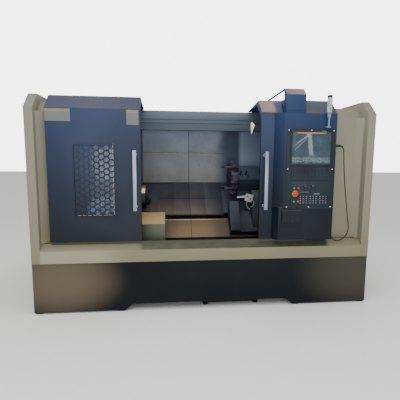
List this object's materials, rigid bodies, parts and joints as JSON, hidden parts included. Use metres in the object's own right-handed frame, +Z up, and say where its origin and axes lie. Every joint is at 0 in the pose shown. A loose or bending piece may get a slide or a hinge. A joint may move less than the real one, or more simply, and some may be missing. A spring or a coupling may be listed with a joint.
{
  "type": "cnc turning lathe",
  "caption": "Slant-bed turning lathe in a full enclosure with sliding doors, a turret, a tailstock and an upright control cabinet.",
  "frame": {"origin": "under the middle of the machine's box, on the floor", "axes": "+X from headstock to tailstock, +Y from the doors to the back, +Z up"},
  "size_m": [3.3, 1.75, 2.139],
  "materials": {
    "charcoal_paint": "satin",
    "cream_paint": "satin",
    "navy_paint": "satin",
    "beam_paint": "satin",
    "case_paint": "satin",
    "stainless": "brushed",
    "cover_steel": "brushed",
    "cast_iron": "as cast and painted",
    "ground_steel": "ground",
    "chrome": "polished",
    "black_steel": "blackened",
    "handle_metal": "satin",
    "rubber": "matt",
    "black_plastic": "matt",
    "panel_plastic": "matt",
    "red_plastic": "gloss",
    "green_plastic": "gloss",
    "dark_glass": "gloss",
    "clear_glass": "gloss",
    "lamp_plastic": "gloss"
  },
  "bodies": {
    "machine": {"base_casting": "charcoal_paint", "levelling_feet": "black_steel", "coolant_tank": "charcoal_paint", "left_end_cover": "cream_paint", "right_end_cover": "cream_paint", "front_sill": "cream_paint", "left_fixed_panel": "cream_paint", "right_fixed_panel": "cream_paint", "rear_beam": "beam_paint", "back_wall": "stainless", "headstock_wall": "stainless", "rear_cover": "cream_paint", "work_lamp": "lamp_plastic", "bed_casting": "cast_iron", "headstock": "cast_iron", "spindle_motor": "cast_iron", "drive_belt": "rubber", "chip_apron": "stainless", "headstock_guard": "stainless", "control_cabinet": "navy_paint", "cable_tower": "navy_paint", "panel_plate": "panel_plastic", "screen_glass": "dark_glass", "key_unit": "panel_plastic", "operator_panel": "panel_plastic", "service_box": "navy_paint", "signal_lamp": "lamp_plastic", "lead": "rubber", "electric_case": "case_paint"},
    "left_door": {"left_door": "navy_paint", "left_pane": "clear_glass", "left_grille": "black_steel", "left_handle": "handle_metal"},
    "right_door": {"right_door": "navy_paint", "right_handle": "handle_metal"},
    "spindle": {"spindle": "ground_steel", "chuck_body": "ground_steel"},
    "jaw_1": {"jaw_1": "ground_steel"},
    "jaw_2": {"jaw_2": "ground_steel"},
    "jaw_3": {"jaw_3": "ground_steel"},
    "motor_pulley": {"motor_pulley": "ground_steel"},
    "left_cover_1": {"left_cover_1": "cover_steel"},
    "left_cover_2": {"left_cover_2": "cover_steel"},
    "left_cover_3": {"left_cover_3": "cover_steel"},
    "carriage": {"carriage": "cover_steel"},
    "feed_screw": {"feed_screw": "ground_steel"},
    "cross_slide": {"cross_slide": "black_steel", "coolant_pipes": "chrome"},
    "turret": {"turret_disc": "black_steel", "tool_holders": "ground_steel"},
    "tailstock": {"tailstock_body": "navy_paint"},
    "quill": {"quill": "chrome"},
    "live_centre": {"live_centre": "ground_steel"},
    "e_stop": {"e_stop": "red_plastic"},
    "green_button_upper": {"green_button_upper": "green_plastic"},
    "green_button_lower": {"green_button_lower": "green_plastic"},
    "red_button_upper": {"red_button_upper": "red_plastic"},
    "red_button_lower": {"red_button_lower": "red_plastic"},
    "feed_knob": {"feed_knob": "black_plastic"},
    "speed_knob": {"speed_knob": "black_plastic"},
    "electric_door": {"electric_door": "case_paint"}
  },
  "joints": [
    {"name": "left_door_slide", "type": "slide", "parent": "machine", "child": "left_door", "axis": [1, 0, 0], "range_m": [0, 0.809]},
    {"name": "right_door_slide", "type": "slide", "parent": "machine", "child": "right_door", "axis": [1, 0, 0], "range_m": [-0.33, 0]},
    {"name": "spindle_spin", "type": "hinge", "parent": "machine", "child": "spindle", "pos_m": [0, -0.175, 1.05], "axis": [1, 0, 0], "continuous": true},
    {"name": "motor_spin", "type": "hinge", "parent": "machine", "child": "motor_pulley", "pos_m": [0, -0.425, 0.63], "axis": [1, 0, 0], "continuous": true},
    {"name": "jaw_1_slide", "type": "slide", "parent": "spindle", "child": "jaw_1", "axis": [0, 0, 1], "range_m": [-0.008, 0.008]},
    {"name": "jaw_2_slide", "type": "slide", "parent": "spindle", "child": "jaw_2", "axis": [0, -0.866, -0.5], "range_m": [-0.008, 0.008]},
    {"name": "jaw_3_slide", "type": "slide", "parent": "spindle", "child": "jaw_3", "axis": [0, 0.866, -0.5], "range_m": [-0.008, 0.008]},
    {"name": "carriage_slide", "type": "slide", "parent": "machine", "child": "carriage", "axis": [1, 0, 0], "range_m": [-0.679, 0]},
    {"name": "cover_1_slide", "type": "slide", "parent": "machine", "child": "left_cover_1", "axis": [1, 0, 0], "range_m": [-0.1699, 0]},
    {"name": "cover_2_slide", "type": "slide", "parent": "machine", "child": "left_cover_2", "axis": [1, 0, 0], "range_m": [-0.3396, 0]},
    {"name": "cover_3_slide", "type": "slide", "parent": "machine", "child": "left_cover_3", "axis": [1, 0, 0], "range_m": [-0.5093, 0]},
    {"name": "feed_screw_spin", "type": "hinge", "parent": "machine", "child": "feed_screw", "pos_m": [0, 0.13683, 0.96444], "axis": [1, 0, 0], "range_deg": [-15288, 10]},
    {"name": "cross_slide_travel", "type": "slide", "parent": "carriage", "child": "cross_slide", "axis": [0, 0.7071, 0.7071], "range_m": [-0.11, 0.04]},
    {"name": "turret_index", "type": "hinge", "parent": "cross_slide", "child": "turret", "pos_m": [0, 0.03713, 1.26213], "axis": [1, 0, 0], "continuous": true},
    {"name": "tailstock_slide", "type": "slide", "parent": "machine", "child": "tailstock", "axis": [1, 0, 0], "range_m": [-0.55, 0.1]},
    {"name": "quill_slide", "type": "slide", "parent": "tailstock", "child": "quill", "axis": [1, 0, 0], "range_m": [-0.1, 0.018]},
    {"name": "centre_spin", "type": "hinge", "parent": "quill", "child": "live_centre", "pos_m": [0, -0.175, 1.05], "axis": [1, 0, 0], "continuous": true},
    {"name": "e_stop_press", "type": "slide", "parent": "machine", "child": "e_stop", "axis": [0, 1, 0], "range_m": [0, 0.006]},
    {"name": "green_button_upper_press", "type": "slide", "parent": "machine", "child": "green_button_upper", "axis": [0, 1, 0], "range_m": [0, 0.003], "stiffness_N_per_m": 600},
    {"name": "green_button_lower_press", "type": "slide", "parent": "machine", "child": "green_button_lower", "axis": [0, 1, 0], "range_m": [0, 0.003], "stiffness_N_per_m": 600},
    {"name": "red_button_upper_press", "type": "slide", "parent": "machine", "child": "red_button_upper", "axis": [0, 1, 0], "range_m": [0, 0.003], "stiffness_N_per_m": 600},
    {"name": "red_button_lower_press", "type": "slide", "parent": "machine", "child": "red_button_lower", "axis": [0, 1, 0], "range_m": [0, 0.003], "stiffness_N_per_m": 600},
    {"name": "feed_knob_turn", "type": "hinge", "parent": "machine", "child": "feed_knob", "pos_m": [0.912, 0, 1.216], "axis": [0, 1, 0], "range_deg": [-135, 135]},
    {"name": "speed_knob_turn", "type": "hinge", "parent": "machine", "child": "speed_knob", "pos_m": [0.986, 0, 1.216], "axis": [0, 1, 0], "range_deg": [-135, 135]},
    {"name": "electric_door_swing", "type": "hinge", "parent": "machine", "child": "electric_door", "pos_m": [-1.158, 0.857, 0], "axis": [0, 0, 1], "range_deg": [0, 120]}
  ],
  "couplings": [
    {"joint": "motor_spin", "follows": "spindle_spin", "ratio": 1},
    {"joint": "jaw_2_slide", "follows": "jaw_1_slide", "ratio": 1},
    {"joint": "jaw_3_slide", "follows": "jaw_1_slide", "ratio": 1},
    {"joint": "cover_1_slide", "follows": "carriage_slide", "ratio": 0.25},
    {"joint": "cover_2_slide", "follows": "carriage_slide", "ratio": 0.5},
    {"joint": "cover_3_slide", "follows": "carriage_slide", "ratio": 0.75},
    {"joint": "feed_screw_spin", "follows": "carriage_slide", "rad_per_m": 392.7}
  ]
}
